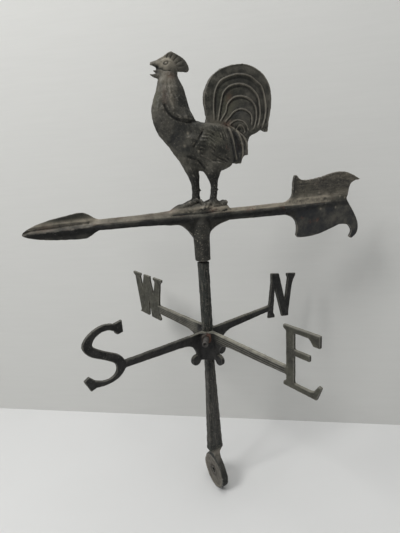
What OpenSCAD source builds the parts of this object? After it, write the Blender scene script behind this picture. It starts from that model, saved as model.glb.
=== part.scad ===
// Cast iron rooster weathervane: a rooster on an arrow that swings on a spindle,
// four compass letters bolted round the mast, and a knuckle at the foot of the mast.
// Origin at the centre of the knuckle's bore, on the mast's axis; +Z up the mast, +X along the bore.
// Every length is in millimetres.

/* [Mast] */
// Diameter of the round upper mast
mast_d = 15.6; // [14:0.2:18]
// Height of the mast's top above the knuckle bore
mast_h = 335.5; // [320:0.5:380]
// Height of the compass arms above the knuckle bore
arms_z = 232; // [210:1:250]
// Width of the flat lower mast just under the compass arms
blade_top_w = 11; // [10:0.5:15]
// Width of the flat lower mast at its shoulders
blade_foot_w = 21.5; // [19:0.5:27]
// Thickness of the flat lower mast over its raised lips
blade_t = 10.5; // [10:0.5:13]
// Width of the raised lips along its edges
lip_w = 3; // [2:0.25:3.5]
// Depth of the sunk panel between the lips
panel_sink = 1; // [0.5:0.1:2]

/* [Knuckle] */
// Diameter of the knuckle disc
knuckle_d = 53; // [50:0.5:58]
// Thickness of the knuckle disc
knuckle_t = 11; // [9:0.5:12]
// Diameter of the bore for the roof bracket's bolt
knuckle_bore_d = 8.4; // [7:0.1:12]
// Width of the raised ring round the mating face
ring_w = 3.5; // [2:0.25:5]
// Depth of the sunk face inside the ring
face_sink = 0.8; // [0.4:0.1:1.5]

/* [Spindle] */
// Diameter of the steel spindle pin
pin_d = 9.5; // [8:0.25:11]
// Length of the pin held in the mast
pin_hold = 30; // [20:1:40]
// Radial clearance between pin and socket
pin_clearance = 0.08; // [0.03:0.01:0.1]
// Gap between the mast's top and the socket's mouth
mouth_gap = 2.8; // [1.5:0.1:5]
// Depth of the socket's bore
socket_depth = 45; // [35:1:47]
// Outer diameter of the socket at its mouth
socket_d = 20.5; // [18:0.5:23]
// Widening of the socket's diameter up to the bar
socket_flare = 1.8; // [0:0.2:3]
// Length of the socket from its mouth to the bar
socket_len = 50.2; // [49:0.2:60]

/* [Arrow] */
// Heading of the arrow at rest, turned from the knuckle bore towards the north-west
heading = 170.5; // [0:0.5:359.5]
// Distance from the spindle to the arrow's tip
tip_reach = 212; // [190:1:240]
// Distance from the spindle to the fork of the fin
fork_reach = 230.5; // [215:0.5:260]
// Height of the bar beside the socket
bar_h = 17.6; // [15:0.2:21]
// Thickness of the bar at its side ridges
bar_t = 12; // [10:0.5:15]
// Width of the flat along the bar's underside
bar_flat = 6; // [4:0.5:8]
// Length of the arrow point
point_len = 86; // [70:1:100]
// Height of the arrow point across its barbs
point_h = 31.2; // [26:0.2:40]
// Length of the fin from its shoulder to the fork
fin_len = 106; // [90:1:115]
// Height of the fin from corner to corner
fin_h = 87; // [70:1:100]
// Thickness of the fin's plate
fin_t = 4; // [3.5:0.25:6]

/* [Rooster] */
// Height of the rooster from the arrow's ridge to the comb
rooster_h = 189.5; // [160:0.5:220]
// Greatest thickness of the rooster's body
rooster_t = 31; // [24:0.5:36]
// Thickness of the tail fan's plate
tail_plate_t = 5; // [4:0.25:7]
// Number of sickle feathers in the tail
sickles = 6; // [4:1:7]

/* [Compass] */
// Turn of the north arm from the knuckle bore
compass_turn = 9.7; // [-15:0.1:15]
// Height of the letters
letter_h = 74; // [65:1:90]
// Thickness of the letter plates
letter_t = 4; // [3:0.25:5]
// Width of a thick letter stroke
stroke = 13.5; // [11:0.5:15]
// Width of a thin letter stroke
thin_stroke = 7; // [6:0.5:8]
// Distance from the mast's axis to the inner edge of the nearest letter
letter_reach = 126; // [110:1:150]
// Height of the arms' centre above the foot of the letters
arm_rise = 18; // [14:0.5:22]
// Height of an arm at its letter
arm_h = 9; // [6:0.5:10]
// Height of the stouter east arm at its letter
east_arm_h = 9.5; // [8:0.5:12]
// Height of an arm at its root
arm_root_h = 13; // [12:0.5:16]
// Rise of the bent south arm along its length
south_rise = 5; // [0:0.5:8]
// Lean of the north letter in its own plane
north_lean = 11.5; // [0:0.5:15]
// Thickness of the arms and of the webs at their roots
arm_t = 6; // [5:0.5:8]
// Radius of the round lobe below each web
lobe_r = 7.5; // [6.5:0.25:9]

/* [Clamp] */
// Distance from the mast's axis to where the arms' roots start
clamp_reach = 15.5; // [15:0.25:20]
// Height of the clamp casting above the bolt
clamp_up = 6; // [6:0.5:12]
// Depth of the clamp casting below the bolt
clamp_down = 35; // [30:0.5:40]
// Diameter of the clamp bolt
bolt_d = 8; // [6:0.5:9]
// Clearance of the clamp bolt in its holes
bolt_clearance = 0.5; // [0.2:0.1:1]
// Length of the clamp bolt under its head
bolt_len = 49; // [45:1:65]
// Width across the flats of nut and bolt head
nut_af = 12.7; // [11:0.1:15]
// Thickness of the nut
nut_t = 7; // [5:0.25:8]
// Thickness of the bolt head
head_t = 5.5; // [4:0.25:7]

/* [Hidden] */

// Heights that follow from the mast and the socket
socket_z = mast_h + mouth_gap;
bar_bottom_z = socket_z + socket_len;
ridge_drop = bar_h * 0.47;
arrow_z = bar_bottom_z + ridge_drop;
pin_end_gap = 0.1;
pin_tip_z = socket_z + socket_depth - pin_end_gap;
knuckle_r = knuckle_d / 2;
mast_r = mast_d / 2;
land_reach = (clamp_reach + arm_t / 2) / sqrt(2);
blade_top_z = arms_z - clamp_down;
// Iron colours of the castings, from lit khaki to near black
IRON = [0.24, 0.23, 0.21];
KHAKI = [0.45, 0.44, 0.39];
RUST = [0.42, 0.24, 0.20];
STEEL = [0.50, 0.49, 0.47];

// Curves and skins

// Point a share t of the way from b to c, on the smooth curve through a, b, c and d
function spline_point(a, b, c, d, t) =
    0.5 * (2 * b + (c - a) * t + (2 * a - 5 * b + 4 * c - d) * t * t
           + (3 * b - a - 3 * c + d) * t * t * t);

// Smooth curve through the points p, in n steps from each point to the next
function curve(p, n = 4) = [
    for (i = [0 : len(p) - 2], k = [0 : n - 1])
        spline_point(p[max(i - 1, 0)], p[i], p[i + 1], p[min(i + 2, len(p) - 1)], k / n),
    p[len(p) - 1]
];

// Sum of the vectors in v
function total(v) = [for (p = v) 1] * v;

// Closed skin over a row of rings that have the same number of points.
// Rings that run the wrong way round for the row's direction are turned over.
module skin(rings) {
    n = len(rings[0]);
    last = len(rings) - 1;
    first = rings[0];
    facing = total([for (k = [1 : n - 2]) cross(first[k] - first[0], first[k + 1] - first[0])])
             * (total(rings[1]) - total(rings[0]));
    points = [for (ring = rings, k = [0 : n - 1]) ring[facing > 0 ? k : n - 1 - k]];
    start_cap = [[for (k = [0 : n - 1]) k]];
    end_cap = [[for (k = [n - 1 : -1 : 0]) last * n + k]];
    sides = [
        for (i = [0 : last - 1], k = [0 : n - 1])
            let (a = i * n + k, b = i * n + (k + 1) % n)
                each [[a, a + n, b], [b, a + n, b + n]]
    ];
    polyhedron(points = points, faces = concat(start_cap, sides, end_cap), convexity = 4);
}

// Rounded limb between a front edge and a back edge.
// A station is [front x, front z, back x, back z, half thickness].
module limb(stations, steps = 3, sides = 16) {
    skin([
        for (s = curve(stations, steps)) [
            for (k = [0 : sides - 1])
                let (a = 360 * k / sides)
                    [(s[0] + s[2]) / 2 + (s[0] - s[2]) / 2 * cos(a),
                     s[4] * sin(a),
                     (s[1] + s[3]) / 2 + (s[1] - s[3]) / 2 * cos(a)]
        ]
    ]);
}

// Upright plate from an outline of [x, z] points, centred on its own thickness
module plate(outline, thickness) {
    rotate([90, 0, 0])
        linear_extrude(thickness, center = true)
            polygon(outline);
}

// Vane

// Puts what is drawn along +X, with z counted from the arrow's ridge, on the spindle at rest
module on_vane() {
    rotate([0, 0, heading])
        translate([0, 0, arrow_z])
            children();
}

// Stations of the bar from the arrow's point to its fin: share of the way from the spindle
// to that end, and how far it rises and falls from the ridge's height, over the bar's height
bar_stations = [
    [1, 0.51, 0.25], [0.64, 0.52, 0.28], [0.4, 0.57, 0.37], [0.32, 0.6, 0.45], [0, 0.53, 0.47],
    [-0.36, 0.38, 0.5], [-0.5, 0.37, 0.53], [-1, 0.4, 0.6]
];
point_base_x = tip_reach - point_len;
fin_shoulder_x = fork_reach - fin_len;

// Ring of the bar at a station: narrow flats above and below, a ridge along each side
bar_top_flat = 3;
function bar_ring(s) =
    let (x = s[0] * (s[0] > 0 ? point_base_x : fin_shoulder_x),
         top = s[1] * bar_h,
         bottom = -s[2] * bar_h,
         ridge = (top + bottom) / 2)
        [for (p = [[-bar_t / 2, ridge], [-bar_flat / 2, bottom], [bar_flat / 2, bottom],
                   [bar_t / 2, ridge], [bar_top_flat / 2, top], [-bar_top_flat / 2, top]])
            [x, p[0], p[1]]];

module bar_body() {
    skin([for (s = bar_stations) bar_ring(s)]);
}

module arrow_bar() {
    color(KHAKI)
        on_vane() bar_body();
}

// Spearhead with a ridge down each side, hollow between ridge and edge
point_edge_t = 1.6;
point_web_t = 4.4;
// Share of the length from the base; top, side ridge and bottom from the bar's ridge, over the
// height of the barbs; share of the ridge's thickness
point_shares = [
    [0.00, 0.288, 0.11, -0.14, 1.00], [0.065, 0.37, 0.09, -0.20, 0.98],
    [0.134, 0.51, 0.075, -0.31, 0.95], [0.20, 0.60, 0.06, -0.40, 0.91],
    [0.30, 0.60, 0.02, -0.40, 0.86], [0.46, 0.52, 0, -0.365, 0.74], [0.63, 0.445, -0.01, -0.325, 0.60],
    [0.80, 0.315, -0.02, -0.25, 0.45], [0.92, 0.175, -0.02, -0.16, 0.30],
    [0.97, 0.09, -0.02, -0.10, 0.22], [1.00, 0, -0.02, -0.05, 0.14]
];
module arrow_point() {
    rings = [
        for (p = point_shares)
            let (x = point_base_x + p[0] * point_len,
                 middle = p[2] * point_h,
                 up = p[1] * point_h - middle,
                 down = middle - p[3] * point_h,
                 ridge = p[4] * bar_t / 2,
                 web = min(ridge * 0.8, point_web_t / 2),
                 edge = min(web * 0.8, point_edge_t / 2))
                [for (q = [[-ridge, 0], [-web, -0.45], [-edge, -1], [edge, -1], [web, -0.45],
                           [ridge, 0], [web, 0.45], [edge, 1], [-edge, 1], [-web, 0.45]])
                    [x, q[0], middle + q[1] * (q[1] > 0 ? up : down)]]
    ];
    color(IRON)
        on_vane() skin(rings);
}

// Swallow-tail fin: horn, long top edge, hooked tips, fork and square lower corner.
// Points are [distance behind the fin's shoulder, height], for a fin 106 long and 87 high.
fin_outline = [
    each curve([[0, 6.9], [6.5, 9.5], [12, 16], [13.3, 27], [14, 35], [16.2, 42.8]], 3),
    each curve([[19.5, 42.4], [26, 36.4], [38, 35], [58, 37.2], [78, 41.6], [94, 43.2], [109, 40],
                [121, 34.6], [129.5, 29.8]], 3),
    each curve([[120, 28.8], [112.5, 25], [109, 16], [107.5, 8], [106, 3], [113.5, -8.5], [121, -20],
                [127.5, -33], [128.7, -44], [125.5, -52], [117.5, -57.8]], 3),
    each curve([[112.4, -54.5], [116.2, -46], [111.5, -37.5], [104, -34.6], [93, -33.8]], 3),
    each curve([[90, -35], [76, -39.3], [56, -44.5], [35, -46.2], [22, -45.4]], 3),
    each curve([[18.2, -41.8], [20, -31], [17.4, -21], [10, -14], [0, -10.4]], 3)
];
fin_drawn_len = 106;
fin_drawn_h = 87;
// Middle height and height of the fin's rib at its root, which lies inside the bar's section
fin_root_z = -1.7;
fin_root_h = 16.4;
rib_end_share = 0.72;
module arrow_fin() {
    sx = fin_len / fin_drawn_len;
    sz = fin_h / fin_drawn_h;
    ring_out = [for (p = fin_outline) [-fin_shoulder_x - p[0] * sx, p[1] * sz]];
    color(IRON)
        on_vane() {
            plate(ring_out, fin_t);
            skin([
                for (share = [0, 0.35, rib_end_share])
                    let (x = -fin_shoulder_x - share * fin_len,
                         h = fin_root_h / 2 * (1 - share * 0.75),
                         w = bar_t / 2 * (1 - share * 0.7),
                         z = fin_root_z * (1 - share))
                        [[x, -w, z], [x, 0, z - h], [x, w, z], [x, 0, z + h]]
            ]);
        }
}

// Tube that rides on the spindle, flared into the bar along both sides.
// The gussets' points are [distance from the tube's wall, height above the mouth over length].
gusset_front = [[0, 0.6], [3.5, 0.7], [7, 0.8], [13, 0.92], [20, 1.01]];
gusset_back = [[0, 0.6], [2.5, 0.74], [12, 0.88], [26, 0.97], [34, 1.01]];
collar_share = 0.8;
module pivot_socket() {
    top_d = socket_d + socket_flare;
    wall_x = top_d / 2 - 1;
    front = [for (p = curve(gusset_front, 3)) [wall_x + p[0], p[1] * socket_len]];
    back = [for (p = curve(gusset_back, 3)) [-wall_x - p[0], p[1] * socket_len]];
    foot = gusset_front[0][1] * socket_len;
    color(IRON)
        rotate([0, 0, heading])
            translate([0, 0, socket_z])
                difference() {
                    union() {
                        cylinder(h = socket_len, d1 = socket_d, d2 = top_d, $fn = 48);
                        translate([0, 0, socket_len])
                            cylinder(h = collar_share * ridge_drop, d1 = top_d, d2 = bar_t + 3, $fn = 48);
                        plate(concat([[0, foot]], front, [[0, socket_len + 1]]), bar_flat + 1);
                        plate(concat([[0, foot]], back, [[0, socket_len + 1]]), bar_flat + 1);
                    }
                    translate([0, 0, -1])
                        cylinder(h = socket_depth + 1, d = pin_d + 2 * pin_clearance, $fn = 48);
                    translate([0, 0, socket_len + ridge_drop])
                        bar_body();
                }
}

// Rooster

// The figure is drawn at full size, 189.5 high and 31 thick, and grows with its two sizes
drawn_h = 189.5;
drawn_t = 31;

// Head, neck with its cape of feathers, breast, belly and saddle in one swelling form
trunk_stations = [
    [32, 183, 23, 182, 3.5], [37.5, 180.5, 19, 177, 6.2], [40, 174, 16.5, 170, 7.4],
    [39.5, 166, 17, 165, 7.6], [41, 160, 15, 160, 8.6], [44, 150, 10.5, 151, 10.4],
    [48.5, 139, 7.5, 139, 12], [52, 127, 4.5, 127, 13.6], [50.5, 113, -2, 115.5, 14],
    [45, 99, -14, 113, 14.6], [34, 86, -26, 112.5, 15], [22, 68, -38, 111, 14.6],
    [6, 59, -46, 106, 13.4], [-14, 54, -50, 99, 11.5], [-34, 55, -52, 89, 9], [-46, 60, -53, 79, 5]
];
module trunk() {
    limb(trunk_stations, 2, 18);
}

// Cape of neck feathers, which stands proud of the breast and ends in a soft edge
module hackle() {
    limb([
        [43, 152, 12, 152, 10.9], [44.5, 141, 9, 141, 12.9], [44.5, 129, 6, 129, 15],
        [38, 119, 0, 118, 16.4], [30, 114.5, 2, 113, 15.6], [24, 113, 4, 112, 12]
    ], 2, 14);
}

// Folded wing in low relief
module wing() {
    limb([
        [20, 101, 20, 94, 12], [13, 106, 14, 85, 16], [0, 107, 5, 77, 17], [-14, 106, -8, 71, 16.8],
        [-28, 102, -22, 66, 15.2], [-40, 95, -36, 63, 12], [-48, 83, -46, 65, 7]
    ], 2, 12);
}

// Comb with its peak over the eye and a lobe that droops behind the head
comb_outline = [
    each curve([[41, 180.5], [33, 184.5], [27, 188.6], [22.5, 189.5], [17, 187.4], [11.5, 184.6],
                [7, 181.5], [4, 176.5], [2.6, 171.5], [5, 168.8], [10, 169.4], [15, 169]], 2),
    [20, 174], [30, 177]
];
comb_t = 5;

// Open beak in two halves with the tongue between them, and the comb
module head() {
    plate(comb_outline, comb_t);
    limb([[34, 180.5, 34, 171, 5.4], [41.5, 179.8, 41, 172.6, 4.2], [46, 178.4, 45.6, 174.6, 2.2],
          [49, 176.4, 48.8, 175.4, 0.7]], 1, 8);
    limb([[34, 168.6, 34, 161.4, 5], [42, 167, 42, 161.6, 3.4], [46, 166.4, 46, 163, 2],
          [49.6, 166.4, 49.4, 165.2, 0.7]], 1, 8);
}

// Tail fan: a thin plate under nested sickle feathers that curl over and hang behind
tail_outline = [
    each curve([[-12, 108], [-15.5, 118], [-14, 129], [-13, 140], [-15, 149], [-20, 159], [-26, 166.5],
                [-35, 172], [-47, 176.5], [-60, 179], [-70, 179], [-79, 176.5], [-89.5, 171.5],
                [-97, 164.5], [-102, 156.5], [-104.8, 145], [-104.5, 132], [-103, 122], [-100.5, 113],
                [-99.8, 100]], 2),
    [-95, 100.8], [-90, 102.8],
    each curve([[-83, 99], [-75, 96], [-72, 92.5], [-70, 86], [-69, 79], [-70.5, 72.5]], 2),
    [-65, 72], [-62, 68], [-60.5, 62.3], [-54, 62.3], [-46, 64], [-30, 80]
];
// First and last sickle: [centre height, front reach, back reach, height, band width]
sickle_first = [138, 44, 42, 37.5, 7.5];
sickle_last = [104, 9, 12, 9, 4];
tail_x = -60;
module sickle(i) {
    share = i / (sickles - 1);
    s = sickle_first * (1 - share) + sickle_last * share;
    bands = 12;
    from = 205;
    to = -50;
    stations = [
        for (k = [0 : bands])
            let (a = from + (to - from) * k / bands,
                 reach = a > 90 ? s[1] : s[2],
                 fade = 1 - 0.6 * abs(2 * k / bands - 1),
                 outer = [tail_x + (reach + s[4] / 2) * -cos(a), s[0] + (s[3] + s[4] / 2) * sin(a)],
                 inner = [tail_x + (reach - s[4] / 2) * -cos(a), s[0] + (s[3] - s[4] / 2) * sin(a)])
                [outer[0], outer[1], inner[0], inner[1], tail_plate_t / 2 + 2.6 * fade]
    ];
    limb(stations, 1, 6);
}

// Feathers that hang from the root of the tail
module covert(tip_x, tip_z, belly) {
    limb([[-34, 110, -34, 100, 6], [-44 - belly, 108, -40, 96, 7],
          [tip_x + 4 - belly, 94, tip_x + 13, 88, 6], [tip_x, 80, tip_x + 8, 76, 4.6],
          [tip_x, tip_z, tip_x + 4, tip_z, 2.8]], 2, 8);
}

// Leg from the thigh down to the foot: stations as for a limb
front_leg = [
    [21.4, 69, -1.6, 65, 9], [16.2, 58.5, -2.6, 57, 8.5], [11.6, 49.5, -3.3, 50, 7.2],
    [8.6, 41, -2.4, 42, 5.8], [8.2, 33, -2.4, 33, 5], [8.7, 25, -1.9, 26, 5],
    [10.4, 19, -3.4, 19, 5.6], [13, 12, -6, 12, 6.5]
];
back_leg = [
    [-3.6, 66, -39.4, 66, 10], [-7.8, 55, -31.4, 55, 9], [-11.9, 48, -27.8, 48, 7.4],
    [-15.3, 41, -25.8, 42, 6], [-15.9, 35, -24.8, 35, 5], [-14.8, 27, -24.2, 27, 5],
    [-13.2, 20, -23.2, 20, 5.5], [-11, 12, -27, 12, 6.5]
];
leg_spread = 2.5;
module toe(from_x, from_z, to_x, to_z, side) {
    hull() {
        translate([from_x, 0, from_z]) sphere(r = 4, $fn = 8);
        translate([to_x, side, to_z]) sphere(r = 2.4, $fn = 8);
    }
}
module foot(x) {
    toe(x, 13, x + 14, 12, 0);
    toe(x, 13, x + 11, 10, 5);
    toe(x, 13, x + 11, 10, -5);
    toe(x, 13, x - 12, 11, 0);
}
module spur(x, z) {
    hull() {
        translate([x + 2, 0, z]) sphere(r = 2, $fn = 8);
        translate([x - 1.6, 0, z - 1]) sphere(r = 0.8, $fn = 8);
    }
}

// Rough ground that the feet grip, cast round the top of the bar
module ground() {
    limb([[43, 8.6, 43, 2, 4], [36, 13, 36, 1, 6.5], [28, 17.6, 28, 0, 8], [14, 16.8, 14, -1, 9],
          [0, 18.8, 0, -1, 9], [-14, 17, -14, -1, 9], [-26, 13, -26, 0, 8], [-35, 14.4, -35, 1, 6.5],
          [-41, 8.4, -41, 2, 4]], 2, 10);
}

module rooster() {
    grow = rooster_h / drawn_h;
    color(IRON)
        on_vane()
            difference() {
                scale([grow, rooster_t / drawn_t, grow]) {
                    trunk();
                    hackle();
                    wing();
                    head();
                    plate(tail_outline, tail_plate_t);
                    for (i = [0 : sickles - 1])
                        sickle(i);
                    covert(-70.5, 72.5, 2);
                    covert(-60.5, 62.5, 0);
                    translate([0, -leg_spread, 0]) {
                        limb(front_leg, 2, 10);
                        foot(3);
                        spur(-3.2, 33);
                    }
                    translate([0, leg_spread, 0]) {
                        limb(back_leg, 2, 10);
                        foot(-19);
                        spur(-25.2, 32.5);
                    }
                    ground();
                }
                bar_body();
            }
}

// Mast and spindle

// Knuckle disc with a raised ring round its mating face
module knuckle_disc() {
    rotate([0, 90, 0])
        translate([0, 0, -knuckle_t / 2])
            difference() {
                cylinder(h = knuckle_t, r = knuckle_r, $fn = 96);
                translate([0, 0, -1])
                    cylinder(h = face_sink + 1, r = knuckle_r - ring_w, $fn = 96);
            }
}

// Flat tapering lower mast, whose shoulders slope in to the neck above the disc.
// The neck reaches below the disc's top.
shoulder_rise = 14.5;
shoulder_h = 7.5;
shoulder_swell = 0.8;
swell_len = 12;
neck_bury = 6;
neck_z = knuckle_r + shoulder_rise - shoulder_h;
module blade_outline(inset) {
    foot = blade_foot_w / 2 - inset;
    neck = knuckle_t / 2;
    top = blade_top_w / 2 - inset;
    shoulder_z = knuckle_r + shoulder_rise;
    low = inset > 0 ? shoulder_z + inset : knuckle_r - neck_bury;
    polygon(inset > 0
        ? [[-foot, low], [foot, low], [top, blade_top_z], [-top, blade_top_z]]
        : [[-neck, low], [neck, low], [neck, neck_z], [foot + shoulder_swell, shoulder_z],
           [foot, shoulder_z + swell_len], [top, blade_top_z], [-top, blade_top_z],
           [-foot, shoulder_z + swell_len], [-foot - shoulder_swell, shoulder_z], [-neck, neck_z]]);
}
module blade() {
    difference() {
        rotate([90, 0, 0])
            linear_extrude(blade_t, center = true)
                blade_outline(0);
        for (side = [-1, 1])
            translate([0, side * blade_t / 2, 0])
                rotate([90, 0, 0])
                    linear_extrude(2 * panel_sink, center = true)
                        blade_outline(lip_w);
    }
}

// Neck that flares from the blade's faces onto the rim of the disc, seen along the bore
neck_flare = [[0, 13], [0.5, 7.5], [2.5, 3], [6, 0], [11, -3.5]];
module neck() {
    side = [for (p = curve(neck_flare, 3)) [blade_t / 2 + p[0], knuckle_r + p[1]]];
    other = [for (i = [len(side) - 1 : -1 : 0]) [-side[i][0], side[i][1]]];
    rotate([90, 0, 90])
        linear_extrude(knuckle_t, center = true)
            polygon(concat(side, [[0, knuckle_r - neck_bury]], other));
}

// Puts what is drawn for the compass, with z counted from the bolt, on the mast
module on_compass() {
    translate([0, 0, arms_z])
        rotate([0, 0, compass_turn])
            children();
}

module bolt_axis() {
    on_compass()
        rotate([0, 0, 225])
            rotate([0, 90, 0])
                children();
}

// The round mast swells a little at its mouth
mouth_swell = 0.3;
mouth_h = 8;
module mast() {
    color(IRON)
        difference() {
            union() {
                translate([0, 0, blade_top_z])
                    cylinder(h = mast_h - blade_top_z, r = mast_r, $fn = 64);
                translate([0, 0, mast_h - mouth_h])
                    cylinder(h = mouth_h, r1 = mast_r, r2 = mast_r + mouth_swell, $fn = 64);
                blade();
                neck();
                knuckle_disc();
            }
            translate([0, 0, mast_h - pin_hold])
                cylinder(h = pin_hold + 1, d = pin_d, $fn = 48);
            bolt_axis()
                translate([0, 0, -mast_d])
                    cylinder(h = 2 * mast_d, d = bolt_d + bolt_clearance, $fn = 32);
            rotate([0, 90, 0])
                translate([0, 0, -knuckle_t])
                    cylinder(h = 2 * knuckle_t, d = knuckle_bore_d, $fn = 48);
        }
}

module spindle_pin() {
    foot_z = mast_h - pin_hold;
    color(STEEL)
        translate([0, 0, foot_z]) {
            pin_body = pin_tip_z - foot_z - pin_d / 4;
            rotate_extrude($fn = 48)
                polygon(concat([[0, 0], [pin_d / 2, 0]],
                               [for (a = [0 : 15 : 90]) [pin_d / 2 * cos(a), pin_body + pin_d / 4 * sin(a)]]));
        }
}

// Compass arms

// Casting half that hugs the mast between two arms, with a flat land across the corner
module clamp_half() {
    translate([0, 0, -clamp_down])
        difference() {
            linear_extrude(clamp_up + clamp_down)
                polygon([[clamp_reach, -arm_t / 2], [clamp_reach, arm_t / 2],
                         [arm_t / 2, clamp_reach], [-arm_t / 2, clamp_reach],
                         [-arm_t / 2, arm_t / 2], [arm_t / 2, -arm_t / 2]]);
            translate([0, 0, -1])
                cylinder(h = clamp_up + clamp_down + 2, r = mast_r, $fn = 64);
            translate([0, 0, clamp_down])
                rotate([0, 0, 45])
                    rotate([0, 90, 0])
                        cylinder(h = 2 * clamp_reach, d = bolt_d + bolt_clearance, $fn = 32);
        }
}

module front_clamp() {
    color(IRON)
        on_compass()
            rotate([0, 0, 180]) clamp_half();
}

module rear_clamp() {
    color(KHAKI)
        on_compass() clamp_half();
}

// Section of an arm with its edges taken off, at x, centred on z
arm_bevel = 1.4;
module arm_section(x, z, h) {
    side = arm_t / 2;
    top = h / 2;
    translate([x, 0, z])
        rotate([90, 0, 90])
            linear_extrude(0.01)
                polygon([
                    [-side + arm_bevel, -top], [side - arm_bevel, -top], [side, -top + arm_bevel],
                    [side, top - arm_bevel], [side - arm_bevel, top], [-side + arm_bevel, top],
                    [-side, top - arm_bevel], [-side, -top + arm_bevel]
                ]);
}

// Web under the arm's root: a hollow curve down to a notch, then a round lobe
web_len = 34;
notch_x = 4;
notch_z = -28.5;
lobe_x = 8;
lobe_up = 2.2;
module web() {
    x0 = clamp_reach;
    plate([
        [x0, clamp_up],
        [x0 + web_len, arm_root_h / 2 - arm_bevel],
        each curve([[x0 + web_len, -arm_root_h / 2 + arm_bevel], [x0 + 22, -7], [x0 + 14, -10.5],
                    [x0 + 8.5, -17], [x0 + notch_x, notch_z]], 3),
        [x0 + lobe_x, lobe_up - clamp_down],
        [x0, lobe_up - clamp_down]
    ], arm_t);
    translate([x0 + lobe_x, arm_t / 2, lobe_up - clamp_down])
        rotate([90, 0, 0])
            difference() {
                cylinder(h = arm_t, r = lobe_r, $fn = 48);
                translate([-lobe_x - 2 * lobe_r, -2 * lobe_r, -1])
                    cube([2 * lobe_r, 4 * lobe_r, arm_t + 2]);
            }
}

// Arm with its web along a direction: h high at its end, and risen there by rise.
// It runs past its letter's edge; the letter and everything beyond past are taken off it.
arm_over = 20;
cut_t = arm_t + 2;
module arm(turn, h, rise, past) {
    root_x = clamp_reach + web_len / 2;
    difference() {
        rotate([0, 0, turn]) {
            hull() {
                arm_section(root_x, 0, arm_root_h);
                arm_section(letter_reach + arm_over, rise, h);
            }
            web();
        }
        children();
        rotate([0, 0, turn])
            translate([past, -arm_t, -letter_h])
                cube([letter_h, 2 * arm_t, 2 * letter_h]);
    }
}

module arm_north() { color(IRON) on_compass() arm(0, arm_h, 0, n_start + 8) place_n(cut_t); }
module arm_east() { color(KHAKI) on_compass() arm(270, east_arm_h, 1, e_start + 3) place_e(cut_t); }
module arm_south() { color(IRON) on_compass() arm(180, arm_h, south_rise, s_start + 6) place_s(cut_t); }
module arm_west() { color(KHAKI) on_compass() arm(90, arm_h, 0, w_start + 6) place_w(cut_t); }

// Compass letters

// Distance from the mast's axis to the near edge of each letter
n_start = letter_reach - 2;
e_start = letter_reach + 8.5;
s_start = letter_reach;
w_start = letter_reach - 15;

// Height of the slab serifs
serif_h = 4;
// North, with its thin stems and broad slanting stroke
letter_n_w = 62;
module shape_n() {
    stem = stroke - 3.5;
    left = 3.5;
    right = letter_n_w - 6;
    polygon([
        [left + 2.5, 0], [left + stem + 8, 0], [left + stem + 7.5, serif_h], [left + stem + 3, serif_h + 5],
        [left + stem - 1, letter_h * 0.7], [right - stroke - 1.5, 0], [right + 1.5, 0], [right, serif_h + 3],
        [right, letter_h * 0.7], [right + 2, letter_h * 0.85], [letter_n_w, letter_h - serif_h],
        [letter_n_w, letter_h], [right - stroke - 3, letter_h], [right - stroke - 2.5, letter_h - serif_h],
        [right - stroke + 1, letter_h - serif_h - 4], [right - stroke + 1, letter_h * 0.36],
        [left + stem + 5, letter_h], [0.5, letter_h], [0.5, letter_h - serif_h + 1], [left - 0.5, letter_h * 0.78],
        [left + 0.5, letter_h * 0.3]
    ]);
}

// East, with a dropped end on its upper bar and a turned-up end on its lower one
letter_e_w = 49.5;
module shape_e() {
    stem = 4;
    right = stem + stroke - 2.5;
    mid_z = letter_h * 0.55;
    polygon([
        [0, 0], [letter_e_w - 6, 0], [letter_e_w, letter_h * 0.22], [letter_e_w - 4, letter_h * 0.24],
        [letter_e_w - 10, thin_stroke + 1.5], [letter_e_w - 15, thin_stroke],
        [right, thin_stroke], [right, mid_z], [letter_e_w - 15, mid_z],
        [letter_e_w - 15, mid_z + thin_stroke], [right, mid_z + thin_stroke],
        [right, letter_h - thin_stroke], [letter_e_w - 16, letter_h - thin_stroke],
        [letter_e_w - 11, letter_h - 2 * thin_stroke], [letter_e_w - 3, letter_h - 2 * thin_stroke],
        [letter_e_w - 3, letter_h], [0, letter_h], [0, letter_h - serif_h],
        [stem, letter_h - serif_h - 3], [stem, serif_h + 3], [0, serif_h]
    ]);
}

// West: two broad vees joined at a serifed middle peak
letter_w_w = 92;
module shape_w() {
    polygon([
        [11, 0], [42, 0], [43, 5], [46, 34], [49, 24], [51, 0], [79, 0], [80, 4], [76, 9], [79, 34],
        [86, letter_h - serif_h - 4], [letter_w_w, letter_h - serif_h], [letter_w_w, letter_h],
        [66, letter_h], [66, letter_h - serif_h], [71, letter_h - serif_h - 3], [62, 41],
        [55, letter_h - serif_h - 4], [56, letter_h], [36, letter_h], [35, letter_h - serif_h], [27, 46],
        [22, letter_h - serif_h - 3], [25, letter_h - serif_h], [25, letter_h], [0, letter_h],
        [0, letter_h - serif_h], [6, letter_h - serif_h - 4], [11, 34], [16, 5]
    ]);
}

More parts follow.
